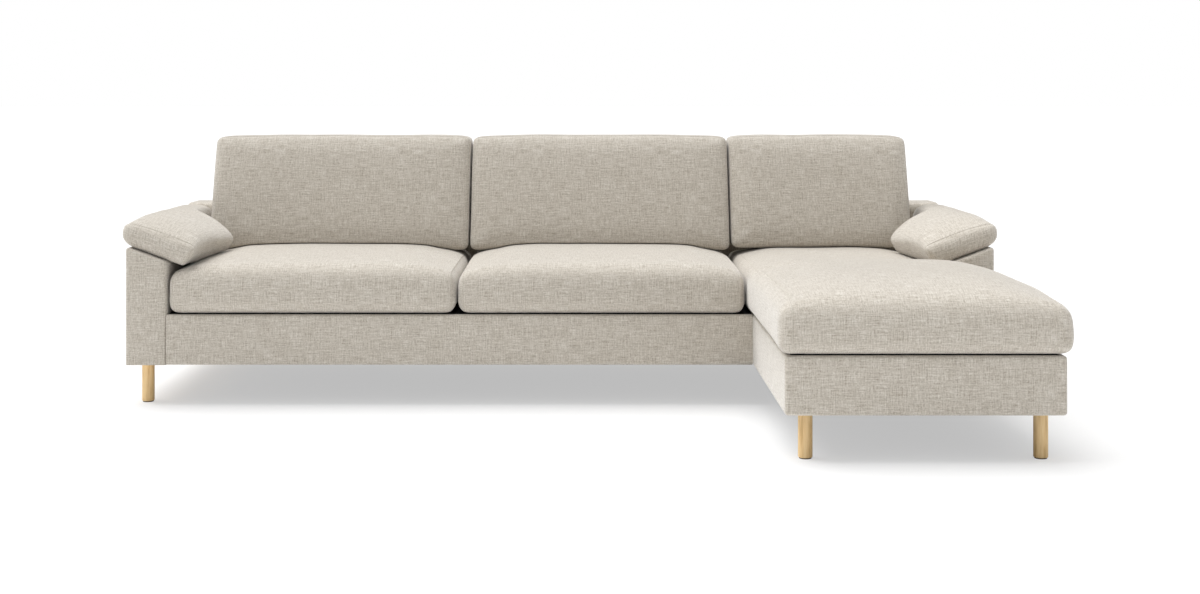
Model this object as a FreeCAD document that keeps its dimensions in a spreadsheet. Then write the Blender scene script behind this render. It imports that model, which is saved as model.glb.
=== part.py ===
import FreeCAD, Part
import math
import os
import Sketcher

# Sectional sofa with a chaise at its right end, in millimetres.
# X runs along the sofa, the front faces -Y, Z is up and the floor is at zero.
# The origin lies on the floor below the middle of the whole sofa.

Vector = FreeCAD.Vector
doc = FreeCAD.newDocument("sectional_sofa")
size_sheet = doc.addObject("Spreadsheet::Sheet", "Sizes")
place_sheet = doc.addObject("Spreadsheet::Sheet", "At")
nodes = []
all_arm_bolts = []

# How many of each repeated piece, and how many flats a hidden bolt has
sofa_strap_count = 14
chaise_front_strap_count = 6
chaise_rear_strap_count = 7
sofa_post_count = 5
chaise_post_count = 3
bolt_sides = 8


def fill_sheet(sheet, rows):
    for row, (alias, value) in enumerate(rows.items(), start=1):
        sheet.set(f"A{row}", alias)
        sheet.set(f"B{row}", str(value))
        sheet.setAlias(f"B{row}", alias)


# Driving dimensions
driving_sizes = {
    "frame_width": 2800,
    "sofa_depth": 950,
    "chaise_reach": 820,
    "chaise_width": 765,
    "chaise_inset": 14,
    "chaise_overhang": 19,
    "leg_height": 131,
    "base_height": 162,
    "arm_thickness": 132,
    "arm_height": 511,
    "arm_slope_drop": 49,
    "back_height": 615,
    "back_thickness": 165,
    "edge_round": 11,
    "wing_round": 34,
    "border_pad": 18,
    "rear_pad": 6,
    "arm_pad": 16,
    "arm_board": 40,
    "arm_rail_height": 34,
    "rail_thick": 22,
    "back_pad": 14,
    "back_top_round": 18,
    "back_rail_height": 40,
    "post_width": 45,
    "deck_thick": 3,
    "strap_thick": 3,
    "strap_width": 70,
    "dust_thick": 2,
    "block_side": 62,
    "block_height": 45,
    "leg_diameter": 40,
    "leg_chamfer": 1.5,
    "leg_front_inset": 81,
    "arm_leg_inset": 53,
    "chaise_leg_inset_left": 66,
    "chaise_leg_inset_right": 51,
    "glide_diameter": 34,
    "glide_thick": 3,
    "bolt_diameter": 8,
    "bolt_in_leg": 30,
    "bolt_in_frame": 25,
    "plate_width": 40,
    "plate_length": 120,
    "plate_thick": 3,
    "plate_edge_gap": 240,
    "arm_bolt_diameter": 8,
    "arm_bolt_head": 16,
    "arm_bolt_head_thick": 5,
    "rest_gap": 0.3,
    "side_gap": 3,
    "cushion_edge": 130,
    "cushion_edge_rise": 16,
    "cushion_crown": 20,
    "cushion_round": 26,
    "cushion_bulge": 8,
    "chaise_front_crown": 52,
    "chaise_split_gap": 12,
    "back_cushion_room": 265,
    "back_cushion_top": 848,
    "back_cushion_thick": 196,
    "back_cushion_top_thick": 141,
    "back_foot_taper": 24,
    "settling_room": 20,
    "back_lean_angle": 20,
    "back_bulge": 14,
    "back_cushion_round": 24,
    "back_arm_gap": 18,
    "pillow_reach": 96,
    "pillow_thick": 78,
    "pillow_round": 26,
    "pillow_bulge": 25,
    "pillow_crown": 38,
    "pillow_tuck": 34,
    "pillow_wing_clear": 18,
    "pillow_overhang": 4,
    "pillow_setback": 14,
}
fill_sheet(size_sheet, driving_sizes)
# Positions that follow from the driving dimensions
derived_places = {
    "half_width": "=Sizes.frame_width / 2",
    "back_plane": "=(Sizes.sofa_depth + Sizes.chaise_reach + Sizes.cushion_bulge) / 2",
    "front_plane": "=back_plane - Sizes.sofa_depth",
    "chaise_front": "=front_plane - Sizes.chaise_reach",
    "arm_inner": "=half_width - Sizes.arm_thickness",
    "chaise_right": "=half_width - Sizes.chaise_inset",
    "chaise_left": "=chaise_right - Sizes.chaise_width",
    "seat_split": "=chaise_left - Sizes.chaise_overhang",
    "seat_middle": "=(seat_split - arm_inner) / 2",
    "base_top": "=Sizes.leg_height + Sizes.base_height",
    "rail_bottom": "=Sizes.leg_height + Sizes.dust_thick",
    "deck_bottom": "=base_top - Sizes.deck_thick",
    "rail_top": "=deck_bottom - Sizes.strap_thick",
    "rail_height": "=rail_top - rail_bottom",
    "sofa_length": "=chaise_left + arm_inner",
    "sofa_rail_front": "=front_plane + Sizes.border_pad",
    "chaise_rail_front": "=chaise_front + Sizes.border_pad",
    "rail_back": "=back_plane - Sizes.rear_pad",
    "chaise_rail_left": "=chaise_left + Sizes.border_pad",
    "chaise_rail_right": "=chaise_right - Sizes.border_pad",
    "back_front": "=back_plane - Sizes.back_thickness",
    "back_rise": "=Sizes.back_height - base_top",
    "front_leg_y": "=front_plane + Sizes.leg_front_inset",
    "rear_leg_y": "=back_plane - Sizes.leg_front_inset",
    "chaise_leg_y": "=chaise_front + Sizes.leg_front_inset",
    "arm_leg_x": "=half_width - Sizes.arm_leg_inset",
    "chaise_leg_left": "=chaise_left + Sizes.chaise_leg_inset_left",
    "chaise_leg_right": "=chaise_right - Sizes.chaise_leg_inset_right",
    "arm_bolt_level": "=rail_bottom + rail_height * 0.6",
    "arm_bolt_length": "=Sizes.rail_thick + (Sizes.arm_thickness + Sizes.arm_board) / 2",
}
fill_sheet(place_sheet, derived_places)
doc.recompute()


def size(alias):
    return float(size_sheet.get(alias))


def at(alias):
    return float(place_sheet.get(alias))


def keep(obj, name):
    obj.Label = name
    nodes.append(obj)
    return obj


def place(obj, x, y, z):
    obj.setExpression("Placement.Base.x", x)
    obj.setExpression("Placement.Base.y", y)
    obj.setExpression("Placement.Base.z", z)


def box(name, length, width, height, x, y, z):
    obj = doc.addObject("Part::Box", name)
    obj.setExpression("Length", length)
    obj.setExpression("Width", width)
    obj.setExpression("Height", height)
    place(obj, x, y, z)
    return obj


def cylinder(name, diameter, height, x, y, z):
    obj = doc.addObject("Part::Cylinder", name)
    obj.setExpression("Radius", f"({diameter}) / 2")
    obj.setExpression("Height", height)
    place(obj, x, y, z)
    return obj


def rod(name, diameter, height, x, y, z):
    """A hidden bolt shank or its bore, with flats so that both take few faces."""
    obj = doc.addObject("Part::Prism", name)
    obj.Polygon = bolt_sides
    obj.setExpression("Circumradius", f"({diameter}) / 2")
    obj.setExpression("Height", height)
    place(obj, x, y, z)
    return obj


def keep_together(name, members):
    obj = doc.addObject("Part::Compound", name)
    obj.Links = members
    return keep(obj, name)


def cut(name, base, tools):
    if len(tools) > 1:
        joined = doc.addObject("Part::MultiFuse", name + "_tools")
        joined.Shapes = tools
    else:
        joined = tools[0]
    obj = doc.addObject("Part::Cut", name)
    obj.Base = base
    obj.Tool = joined
    return obj


def outline(body, plane, name, points):
    """A closed sketch through points given as pairs of expressions."""
    sketch = body.newObject("Sketcher::SketchObject", name)
    support = [f for f in body.Origin.OriginFeatures if f.Role == plane][0]
    sketch.AttachmentSupport = [(support, "")]
    sketch.MapMode = "FlatFace"
    count = len(points)
    turn = 2 * math.pi / count
    start = [Vector(math.cos(turn * i), math.sin(turn * i), 0) for i in range(count)]
    for i in range(count):
        sketch.addGeometry(Part.LineSegment(start[i], start[(i + 1) % count]), False)
    for i in range(count):
        sketch.addConstraint(Sketcher.Constraint("Coincident", i, 2, (i + 1) % count, 1))
    for i, pair in enumerate(points):
        for kind, value, text in zip(("DistanceX", "DistanceY"), start[i], pair):
            number = sketch.addConstraint(Sketcher.Constraint(kind, -1, 1, i, 1, value))
            sketch.setExpression(f"Constraints[{number}]", text)
    return sketch


def pad(body, sketch, length):
    feature = body.newObject("PartDesign::Pad", sketch.Name + "_pad")
    feature.Profile = sketch
    feature.setExpression("Length", length)
    doc.recompute()
    return feature


def soften(body, base, radius, wanted):
    """Fillet the edges of the last feature whose middle and direction are wanted."""
    names = []
    for number, edge in enumerate(base.Shape.Edges, start=1):
        direction = edge.tangentAt(edge.FirstParameter)
        if wanted(edge.CenterOfMass, direction):
            names.append(f"Edge{number}")
    feature = body.newObject("PartDesign::Fillet", base.Name + "_soft")
    feature.Base = (base, names)
    feature.setExpression("Radius", radius)
    doc.recompute()
    return feature


def rectangle(length, width):
    return [("0", "0"), (length, "0"), (length, width), ("0", width)]


def near(one, other):
    return abs(one - other) < 0.01


# Upholstered panels of the two bases
def front_border(name, length, x, y, left_end, right_end):
    """A padded panel with rounded top, bottom and free ends, facing the front."""
    body = doc.addObject("PartDesign::Body", name)
    block = pad(body, outline(body, "XY_Plane", name + "_plan",
                              rectangle(length, "Sizes.border_pad")), "Sizes.base_height")
    reach = block.Shape.BoundBox.XMax

    def wanted(middle, direction):
        if not near(middle.y, 0):
            return False
        free_end = near(middle.x, 0) and left_end or near(middle.x, reach) and right_end
        return abs(direction.x) > 0.9 or free_end

    soften(body, block, "Sizes.edge_round", wanted)
    place(body, x, y, "Sizes.leg_height")
    return keep(body, name)


def side_border(name, length, x, y, outer_on_right):
    """A padded panel with a rounded top and bottom, facing one end of the sofa."""
    body = doc.addObject("PartDesign::Body", name)
    block = pad(body, outline(body, "XY_Plane", name + "_plan",
                              rectangle("Sizes.border_pad", length)), "Sizes.base_height")
    outer = block.Shape.BoundBox.XMax if outer_on_right else 0

    def wanted(middle, direction):
        return near(middle.x, outer) and abs(direction.y) > 0.9

    soften(body, block, "Sizes.edge_round", wanted)
    place(body, x, y, "Sizes.leg_height")
    return keep(body, name)


def rear_border(name, length, x):
    return keep(box(name, length, "Sizes.rear_pad", "Sizes.base_height",
                    x, "At.rail_back", "Sizes.leg_height"), name)


def rail(name, length, width, x, y):
    return box(name, length, width, "At.rail_height", x, y, "At.rail_bottom")


# Two-seat base
def sofa_base():
    depth = "(At.rail_back - At.sofa_rail_front)"
    inner = f"({depth} - 2 * Sizes.rail_thick)"
    behind = "At.sofa_rail_front + Sizes.rail_thick"
    front_border("sofa_front_border", "At.sofa_length", "-At.arm_inner", "At.front_plane",
                 False, False)
    rear_border("sofa_rear_border", "At.sofa_length", "-At.arm_inner")
    keep(rail("sofa_front_rail", "At.sofa_length", "Sizes.rail_thick",
              "-At.arm_inner", "At.sofa_rail_front"), "sofa_front_rail")
    keep(rail("sofa_rear_rail", "At.sofa_length", "Sizes.rail_thick",
              "-At.arm_inner", "At.rail_back - Sizes.rail_thick"), "sofa_rear_rail")
    left = rail("sofa_left_end_rail_blank", "Sizes.rail_thick", inner, "-At.arm_inner", behind)
    bored = cut("sofa_left_end_rail", left, arm_bolt_holes("sofa_left_rail", -1))
    keep(bored, "sofa_left_end_rail")
    keep(rail("sofa_right_end_rail", "Sizes.rail_thick", inner,
              "At.chaise_left - Sizes.rail_thick", behind), "sofa_right_end_rail")
    cross = []
    for number in (1, 2):
        x = f"-At.arm_inner + At.sofa_length * {number} / 3 - Sizes.rail_thick / 2"
        cross.append(rail(f"sofa_cross_rail_{number}", "Sizes.rail_thick", inner, x, behind))
    keep_together("sofa_cross_rails", cross)
    straps = []
    for number in range(sofa_strap_count):
        share = f"({number} + 0.5) / {sofa_strap_count}"
        x = f"-At.arm_inner + At.sofa_length * {share} - Sizes.strap_width / 2"
        straps.append(box(f"sofa_strap_{number}", "Sizes.strap_width", depth,
                          "Sizes.strap_thick", x, "At.sofa_rail_front", "At.rail_top"))
    keep_together("sofa_seat_webbing", straps)
    keep(box("sofa_deck_cloth", "At.sofa_length", depth, "Sizes.deck_thick", "-At.arm_inner",
             "At.sofa_rail_front", "At.deck_bottom"), "sofa_deck_cloth")
    keep(box("sofa_dust_cover", "At.sofa_length", depth, "Sizes.dust_thick", "-At.arm_inner",
             "At.sofa_rail_front", "Sizes.leg_height"), "sofa_dust_cover")


def stepped_sheet(name, thickness, z):
    """A cloth of the chaise base's stepped plan, wide in front and narrow beside the arm."""
    body = doc.addObject("PartDesign::Body", name)
    narrow = "At.arm_inner - At.chaise_rail_left"
    wide = "At.chaise_rail_right - At.chaise_rail_left"
    step = "At.front_plane - At.chaise_rail_front"
    depth = "At.rail_back - At.chaise_rail_front"
    points = [("0", "0"), (wide, "0"), (wide, step), (narrow, step), (narrow, depth), ("0", depth)]
    pad(body, outline(body, "XY_Plane", name + "_plan", points), thickness)
    place(body, "At.chaise_rail_left", "At.chaise_rail_front", z)
    return body


# Chaise base
def chaise_base():
    front_border("chaise_front_border", "Sizes.chaise_width", "At.chaise_left",
                 "At.chaise_front", True, True)
    side_border("chaise_left_border", "At.back_plane - At.chaise_rail_front",
                "At.chaise_left", "At.chaise_rail_front", False)
    side_border("chaise_right_border", "At.front_plane - At.chaise_rail_front",
                "At.chaise_rail_right", "At.chaise_rail_front", True)
    rear_border("chaise_rear_border", "At.arm_inner - At.chaise_rail_left", "At.chaise_rail_left")
    keep(rail("chaise_left_rail", "Sizes.rail_thick", "At.rail_back - At.chaise_rail_front",
              "At.chaise_rail_left", "At.chaise_rail_front"), "chaise_left_rail")
    inner_left = "At.chaise_rail_left + Sizes.rail_thick"
    keep(rail("chaise_front_rail",
              "At.chaise_rail_right - At.chaise_rail_left - 2 * Sizes.rail_thick",
              "Sizes.rail_thick", inner_left, "At.chaise_rail_front"), "chaise_front_rail")
    keep(rail("chaise_right_rail", "Sizes.rail_thick",
              "At.front_plane - Sizes.rail_thick - At.chaise_rail_front",
              "At.chaise_rail_right - Sizes.rail_thick", "At.chaise_rail_front"),
         "chaise_right_rail")
    keep(rail("chaise_return_rail", "At.chaise_rail_right - At.arm_inner + Sizes.rail_thick",
              "Sizes.rail_thick", "At.arm_inner - Sizes.rail_thick",
              "At.front_plane - Sizes.rail_thick"), "chaise_return_rail")
    blank = rail("chaise_arm_rail_blank", "Sizes.rail_thick",
                 "At.rail_back - Sizes.rail_thick - At.front_plane",
                 "At.arm_inner - Sizes.rail_thick", "At.front_plane")
    keep(cut("chaise_arm_rail", blank, arm_bolt_holes("chaise_arm_rail", 1)), "chaise_arm_rail")
    keep(rail("chaise_rear_rail", f"At.arm_inner - ({inner_left})", "Sizes.rail_thick",
              inner_left, "At.rail_back - Sizes.rail_thick"), "chaise_rear_rail")
    cross = []
    for number in (1, 2, 3, 4):
        in_front = number < 3
        reach = "At.chaise_rail_right" if in_front else "At.arm_inner"
        y = f"At.chaise_rail_front + (At.rail_back - At.chaise_rail_front) * {number} / 5"
        cross.append(rail(f"chaise_cross_rail_{number}",
                          f"{reach} - Sizes.rail_thick - ({inner_left})",
                          "Sizes.rail_thick", inner_left, y))
    keep_together("chaise_cross_rails", cross)
    straps = []
    for part, count, start, end, reach in (
            ("front", chaise_front_strap_count, "At.chaise_rail_front", "At.front_plane",
             "At.chaise_rail_right"),
            ("rear", chaise_rear_strap_count, "At.front_plane", "At.rail_back", "At.arm_inner")):
        for number in range(count):
            y = f"{start} + ({end} - {start}) * ({number} + 0.5) / {count} - Sizes.strap_width / 2"
            straps.append(box(f"chaise_strap_{part}_{number}", f"{reach} - At.chaise_rail_left",
                              "Sizes.strap_width", "Sizes.strap_thick", "At.chaise_rail_left",
                              y, "At.rail_top"))
    keep_together("chaise_seat_webbing", straps)
    keep(stepped_sheet("chaise_deck_cloth", "Sizes.deck_thick", "At.deck_bottom"),
         "chaise_deck_cloth")
    under = stepped_sheet("chaise_dust_cover_blank", "Sizes.dust_thick", "Sizes.leg_height")
    holes = []
    for label, x, y in chaise_legs():
        holes.append(rod(f"dust_hole_{label}", "Sizes.bolt_diameter",
                         "Sizes.dust_thick", x, y, "Sizes.leg_height"))
    keep(cut("chaise_dust_cover", under, holes), "chaise_dust_cover")


# Where the legs stand
def chaise_legs():
    return [("chaise_front_left", "At.chaise_leg_left", "At.chaise_leg_y"),
            ("chaise_front_right", "At.chaise_leg_right", "At.chaise_leg_y"),
            ("chaise_rear_left", "At.chaise_leg_left", "At.rear_leg_y")]


def arm_legs():
    return [("left_arm_front", "-At.arm_leg_x", "At.front_leg_y"),
            ("left_arm_rear", "-At.arm_leg_x", "At.rear_leg_y"),
            ("right_arm_rear", "At.arm_leg_x", "At.rear_leg_y")]


def corner_blocks():
    """Glue blocks in the chaise corners, each bored for a hanger bolt."""
    left = "At.chaise_rail_left + Sizes.rail_thick"
    right = "At.chaise_rail_right - Sizes.rail_thick - Sizes.block_side"
    front = "At.chaise_rail_front + Sizes.rail_thick"
    rear = "At.rail_back - Sizes.rail_thick - Sizes.block_side"
    blocks = []
    for (label, x, y), (bx, by) in zip(chaise_legs(), ((left, front), (right, front), (left, rear))):
        blank = box(f"block_{label}_blank", "Sizes.block_side", "Sizes.block_side",
                    "Sizes.block_height", bx, by, "At.rail_bottom")
        bore = rod(f"block_bore_{label}", "Sizes.bolt_diameter",
                   "Sizes.bolt_in_frame - Sizes.dust_thick", x, y, "At.rail_bottom")
        blocks.append(cut(f"block_{label}", blank, [bore]))
    keep_together("leg_corner_blocks", blocks)


def leg(label, x, y):
    """A round turned leg with a chamfered foot and a bore for its hanger bolt."""
    name = "leg_" + label
    body = doc.addObject("PartDesign::Body", name + "_turning")
    radius = "Sizes.leg_diameter / 2"
    top = "Sizes.leg_height - Sizes.glide_thick"
    points = [("0", "0"), (f"{radius} - Sizes.leg_chamfer", "0"), (radius, "Sizes.leg_chamfer"),
              (radius, top), ("0", top)]
    sketch = outline(body, "XZ_Plane", name + "_profile", points)
    turned = body.newObject("PartDesign::Revolution", name + "_turned")
    turned.Profile = sketch
    turned.ReferenceAxis = (sketch, ["V_Axis"])
    turned.Angle = 360
    place(body, x, y, "Sizes.glide_thick")
    bore = rod(name + "_bore", "Sizes.bolt_diameter", "Sizes.bolt_in_leg", x, y,
               "Sizes.leg_height - Sizes.bolt_in_leg")
    return cut(name, body, [bore])


def legs():
    front, rear, glides, bolts = [], [], [], []
    for label, x, y in arm_legs() + chaise_legs():
        row = front if "front" in label else rear
        row.append(leg(label, x, y))
        glides.append(cylinder("glide_" + label, "Sizes.glide_diameter", "Sizes.glide_thick",
                               x, y, "0"))
        bolts.append(rod("bolt_" + label, "Sizes.bolt_diameter",
                         "Sizes.bolt_in_leg + Sizes.bolt_in_frame", x, y,
                         "Sizes.leg_height - Sizes.bolt_in_leg"))
    keep_together("front_legs", front)
    keep_together("rear_legs", rear)
    keep_together("leg_glides", glides)
    keep_together("leg_hanger_bolts", bolts)


# Arms
def arm_bolt_places(side):
    """The bolts that hold an arm to the base: x of the head, then y and z."""
    head = "-At.arm_inner + Sizes.rail_thick" if side < 0 else "At.arm_inner - Sizes.rail_thick"
    for number in (1, 2):
        y = f"At.front_plane + Sizes.sofa_depth * ({number} * 2 - 1) / 4"
        yield number, head, y, "At.arm_bolt_level"


def level_rod(name, diameter, length, x, y, z, side):
    """A rod along X that starts at x and runs outwards to the given side."""
    obj = rod(name, diameter, length, x, y, z)
    obj.Placement.Rotation = FreeCAD.Rotation(Vector(0, 1, 0), 90 * side)
    return obj


def arm_bolt_holes(name, side):
    return [level_rod(f"{name}_hole_{number}", "Sizes.arm_bolt_diameter",
                      "At.arm_bolt_length", x, y, z, side)
            for number, x, y, z in arm_bolt_places(side)]


def arm_bolts(name, side):
    for number, x, y, z in arm_bolt_places(side):
        shank = level_rod(f"{name}_shank_{number}", "Sizes.arm_bolt_diameter",
                          "At.arm_bolt_length", x, y, z, side)
        head = doc.addObject("Part::Prism", f"{name}_head_{number}")
        head.Polygon = 6
        head.setExpression("Circumradius", "Sizes.arm_bolt_head / 2")
        head.setExpression("Height", "Sizes.arm_bolt_head_thick")
        place(head, f"{x} - ({side}) * Sizes.arm_bolt_head_thick", y, z)
        head.Placement.Rotation = FreeCAD.Rotation(Vector(0, 1, 0), 90 * side)
        bolt = doc.addObject("Part::Fuse", f"{name}_{number}")
        bolt.Base = shank
        bolt.Tool = head
        all_arm_bolts.append(bolt)


def arm_outer(name, side):
    """The outer form of an arm: low and sloping inwards, with a wing that meets the back."""
    body = doc.addObject("PartDesign::Body", name)
    low = "Sizes.arm_height - Sizes.leg_height"
    high = "Sizes.back_height - Sizes.leg_height"
    wing = "Sizes.sofa_depth - Sizes.back_thickness"
    profile = [("0", "0"), ("Sizes.sofa_depth", "0"), ("Sizes.sofa_depth", high), (wing, high),
               (wing, low), ("0", low)]
    block = pad(body, outline(body, "YZ_Plane", name + "_side", profile), "Sizes.arm_thickness")
    inner, outer = ("Sizes.arm_thickness", "0") if side < 0 else ("0", "Sizes.arm_thickness")
    slope = outline(body, "XZ_Plane", name + "_slope",
                    [(outer, low), (inner, low), (inner, f"{low} - Sizes.arm_slope_drop")])
    pocket = body.newObject("PartDesign::Pocket", name + "_top")
    pocket.Profile = slope
    pocket.setExpression("Length", wing)
    doc.recompute()
    if pocket.Shape.Volume > block.Shape.Volume - 1:
        raise ValueError("the slope of the arm is cut to the wrong side")
    wing_y = pocket.Shape.BoundBox.YMax - size("back_thickness")
    top = pocket.Shape.BoundBox.ZMax
    outer_x = 0 if side < 0 else pocket.Shape.BoundBox.XMax

    def wing_edge(middle, direction):
        return near(middle.y, wing_y) and near(middle.z, top) and abs(direction.x) > 0.9

    rounded = soften(body, pocket, "Sizes.wing_round", wing_edge)

    def outer_edge(middle, direction):
        in_front = near(middle.y, 0) and middle.z > 1
        rim = near(middle.x, outer_x) and middle.z > 1 and middle.y < wing_y + size("wing_round")
        return in_front or rim

    soften(body, rounded, "Sizes.edge_round", outer_edge)
    edge_x = "-At.half_width" if side < 0 else "At.arm_inner"
    place(body, edge_x, "At.front_plane", "Sizes.leg_height")
    return body


def arm(side):
    word = "left" if side < 0 else "right"
    outer = arm_outer(f"{word}_arm_outer", side)
    edge_x = "-At.half_width" if side < 0 else "At.arm_inner"
    length = "Sizes.sofa_depth - Sizes.arm_pad - Sizes.rear_pad"
    start = "At.front_plane + Sizes.arm_pad"
    rail_blank = box(f"{word}_arm_rail_blank", "Sizes.arm_thickness - 2 * Sizes.arm_pad", length,
                     "Sizes.arm_rail_height", f"{edge_x} + Sizes.arm_pad", start,
                     "Sizes.leg_height")
    board_name = f"{word}_arm_board_blank"
    body = doc.addObject("PartDesign::Body", board_name)
    low = ("Sizes.arm_height - Sizes.arm_slope_drop - Sizes.arm_pad - Sizes.arm_rail_height"
           " - Sizes.leg_height")
    high = "Sizes.back_height - Sizes.wing_round - Sizes.arm_rail_height - Sizes.leg_height"
    wing = "Sizes.sofa_depth - Sizes.back_thickness"
    profile = [("0", "0"), (length, "0"), (length, high), (wing, high), (wing, low), ("0", low)]
    pad(body, outline(body, "YZ_Plane", board_name + "_side", profile), "Sizes.arm_board")
    place(body, f"{edge_x} + (Sizes.arm_thickness - Sizes.arm_board) / 2", start,
          "Sizes.leg_height + Sizes.arm_rail_height")
    holes = []
    for label, x, y in arm_legs():
        if label.startswith(word):
            holes.append(rod(f"bore_{label}", "Sizes.bolt_diameter", "Sizes.bolt_in_frame",
                             x, y, "Sizes.leg_height"))
    keep(cut(f"{word}_arm_bottom_rail", rail_blank, holes), f"{word}_arm_bottom_rail")
    board = cut(f"{word}_arm_board", body, arm_bolt_holes(f"{word}_arm_board", side))
    keep(board, f"{word}_arm_board")
    room = [rail_blank, body] + arm_bolt_holes(f"{word}_arm_cover", side)
    keep(cut(f"{word}_arm_cover", outer, room), f"{word}_arm_cover")
    arm_bolts(f"{word}_arm_bolts", side)


# Back frames
def back_frame(word, length, x, post_count):
    """An upholstered channel over a top rail that stands on posts."""
    cover = doc.addObject("PartDesign::Body", f"{word}_back_cover")
    depth, high = "Sizes.back_thickness", "At.back_rise"
    back, front = "Sizes.rear_pad", "Sizes.back_pad"
    inner_rear, ceiling = f"{depth} - {back}", f"{high} - {front}"
    profile = [("0", "0"), (front, "0"), (front, ceiling), (inner_rear, ceiling),
               (inner_rear, "0"), (depth, "0"), (depth, high), ("0", high)]
    block = pad(cover, outline(cover, "YZ_Plane", f"{word}_back_section", profile), length)
    roof = block.Shape.BoundBox.ZMax

    def front_top(middle, direction):
        return near(middle.z, roof) and near(middle.y, 0) and abs(direction.x) > 0.9

    rounded = soften(cover, block, "Sizes.back_top_round", front_top)

    def rear_top(middle, direction):
        behind = middle.y > size("back_thickness") - 1
        return near(middle.z, roof) and behind and abs(direction.x) > 0.9

    soften(cover, rounded, "Sizes.rear_pad", rear_top)
    place(cover, x, "At.back_front", "At.base_top")
    keep(cover, f"{word}_back_cover")
    inner_depth = "Sizes.back_thickness - Sizes.back_pad - Sizes.rear_pad"
    inner_y = "At.back_front + Sizes.back_pad"
    keep(box(f"{word}_back_top_rail", length, inner_depth, "Sizes.back_rail_height", x, inner_y,
             "Sizes.back_height - Sizes.back_pad - Sizes.back_rail_height"),
         f"{word}_back_top_rail")
    posts = []
    for number in range(post_count):
        post_x = f"{x} + ({length} - Sizes.post_width) * {number} / {post_count - 1}"
        posts.append(box(f"{word}_back_post_{number}", "Sizes.post_width", inner_depth,
                         "At.back_rise - Sizes.back_pad - Sizes.back_rail_height",
                         post_x, inner_y, "At.base_top"))
    keep_together(f"{word}_back_posts", posts)


def joining_plates():
    """Steel plates under the joint that tie the sofa base to the chaise base."""
    plates = []
    for number, y in enumerate(("At.sofa_rail_front + Sizes.plate_edge_gap",
                                "At.rail_back - Sizes.plate_edge_gap - Sizes.plate_width")):
        plates.append(box(f"plate_{number}", "Sizes.plate_length", "Sizes.plate_width",
                          "Sizes.plate_thick", "At.chaise_left - Sizes.plate_length / 2", y,
                          "Sizes.leg_height - Sizes.plate_thick"))
    keep_together("module_joining_plates", plates)


# Soft forms
def soft_section(corners, rounds, bevels, bows, plane_point):
    """A closed outline whose sides bow out and whose corners are rounded or bevelled seams."""
    count = len(corners)
    middle = (sum(c[0] for c in corners) / count, sum(c[1] for c in corners) / count)
    starts, ends, tips = [], [], []
    for i in range(count):
        px, py = corners[i]
        directions, lengths = [], []
        for qx, qy in (corners[i - 1], corners[(i + 1) % count]):
            length = math.hypot(qx - px, qy - py)
            lengths.append(length)
            directions.append(((qx - px) / length, (qy - py) / length))
        (ux, uy), (vx, vy) = directions
        r = min(rounds[i] or bevels[i], 0.42 * min(lengths))
        starts.append((px + ux * r, py + uy * r))
        ends.append((px + vx * r, py + vy * r))
        tips.append((px + 0.29 * r * (ux + vx), py + 0.29 * r * (uy + vy)))
    edges = []
    for i in range(count):
        j = (i + 1) % count
        if rounds[i]:
            edges.append(Part.Arc(plane_point(*starts[i]), plane_point(*tips[i]),
                                  plane_point(*ends[i])).toShape())
        else:
            edges.append(Part.LineSegment(plane_point(*starts[i]),
                                          plane_point(*ends[i])).toShape())
        (ax, ay), (bx, by) = ends[i], starts[j]
        length = math.hypot(bx - ax, by - ay)
        nx, ny = (by - ay) / length, (ax - bx) / length
        mx, my = (ax + bx) / 2, (ay + by) / 2
        if (mx - middle[0]) * nx + (my - middle[1]) * ny < 0:
            nx, ny = -nx, -ny
        if bows[i]:
            edges.append(Part.Arc(plane_point(ax, ay),
                                  plane_point(mx + nx * bows[i], my + ny * bows[i]),
                                  plane_point(bx, by)).toShape())
        else:
            edges.append(Part.LineSegment(plane_point(ax, ay), plane_point(bx, by)).toShape())
    return Part.Wire(edges)


def shrink(corners, inset):
    """Move every corner inwards along both its sides."""
    count = len(corners)
    moved = []
    for i in range(count):
        px, py = corners[i]
        dx = dy = 0
        for qx, qy in (corners[i - 1], corners[(i + 1) % count]):
            length = math.hypot(qx - px, qy - py)
            dx += (qx - px) / length
            dy += (qy - py) / length
        moved.append((px + dx * inset, py + dy * inset))
    return moved


def stations(start, end, rounding):
    """Places along a cushion: close together on its rounded ends, then wide apart.

    Each has its inset and its fullness, which is 0 at the ends and 1 in the middle."""
    length = end - start
    rows = []
    for share, inset in ((0, 0.8), (0.2, 0.32), (1, 0)):
        rows.append((share * rounding, inset * rounding))
    for share in (0.17, 0.5):
        rows.append((share * length, 0))
    half = [(d, inset, 1 - (1 - 2 * d / length) ** 4) for d, inset in rows]
    first = [(start + d, inset, full) for d, inset, full in half]
    last = [(end - d, inset, full) for d, inset, full in reversed(half[:-1])]
    return first + last


def keep_soft(shape, name):
    obj = doc.addObject("Part::Feature", name)
    obj.Shape = shape
    return keep(obj, name)


def seat_peak():
    """Height of the fullest point of a seat cushion above its foot."""
    return size("cushion_edge") + size("cushion_edge_rise") + size("cushion_crown")


def boxed_pad(x0, x1, y0, y1, z, edge, rise, crown, bulge):
    """A boxed cushion that lies flat: level foot, crowned top, bowed front."""
    rounding = size("cushion_round")
    wires = []
    for x, inset, full in stations(x0, x1, rounding):
        top = z + edge + rise * full
        corners = shrink([(y0, z), (y0, top), (y1, top), (y1, z)], inset)
        bows = [0.5 + bulge * full, 1 + crown * full, 0, 0]
        wires.append(soft_section(corners, [0, rounding, rounding, 0], [rounding * 0.4] * 4, bows,
                                  lambda a, b, x=x: Vector(x, a, b)))
    return Part.makeLoft(wires, True, True)


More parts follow.
